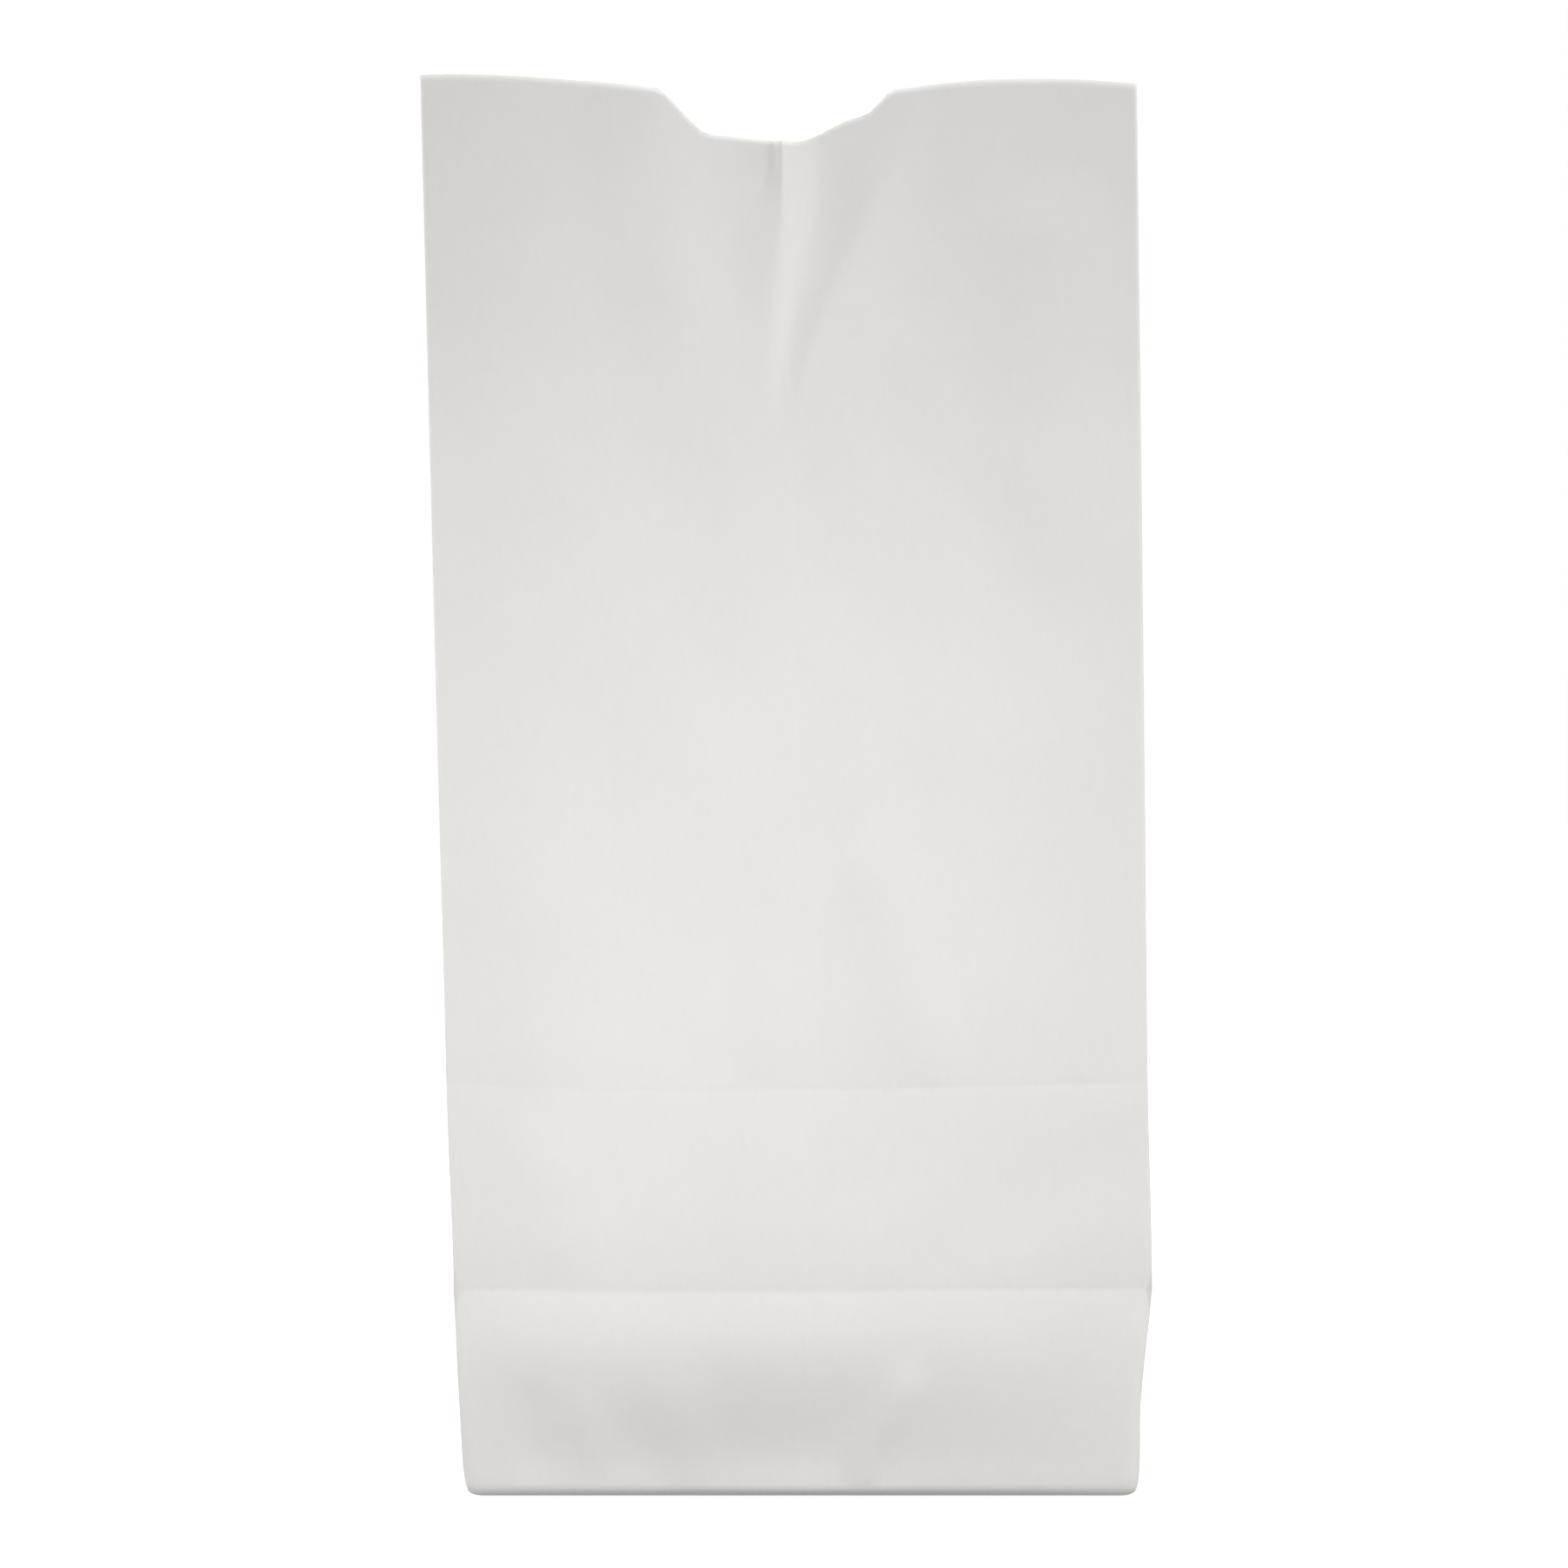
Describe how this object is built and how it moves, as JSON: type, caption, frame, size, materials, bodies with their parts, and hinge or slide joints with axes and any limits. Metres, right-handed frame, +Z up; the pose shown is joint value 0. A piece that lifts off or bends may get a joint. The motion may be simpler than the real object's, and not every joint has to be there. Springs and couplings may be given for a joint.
{
  "type": "paper grocery bag",
  "caption": "Opened white paper bag with a flat folded base, a gusset down each side, a lapped seam up the front and a finger notch at the mouth.",
  "frame": {"origin": "on the ground under the middle of the room that the standing bag takes up", "axes": "+Z up, towards the mouth; the front face, with the seam and the finger notch, faces -Y; +X is to the right seen from the front"},
  "size_m": [0.2032, 0.1336, 0.3993],
  "materials": {
    "kraft_paper": "matte bleached kraft paper, machine-glazed on the outside, with soft creases"
  },
  "bodies": {
    "root": {"paper_bag": "kraft_paper"}
  },
  "joints": []
}
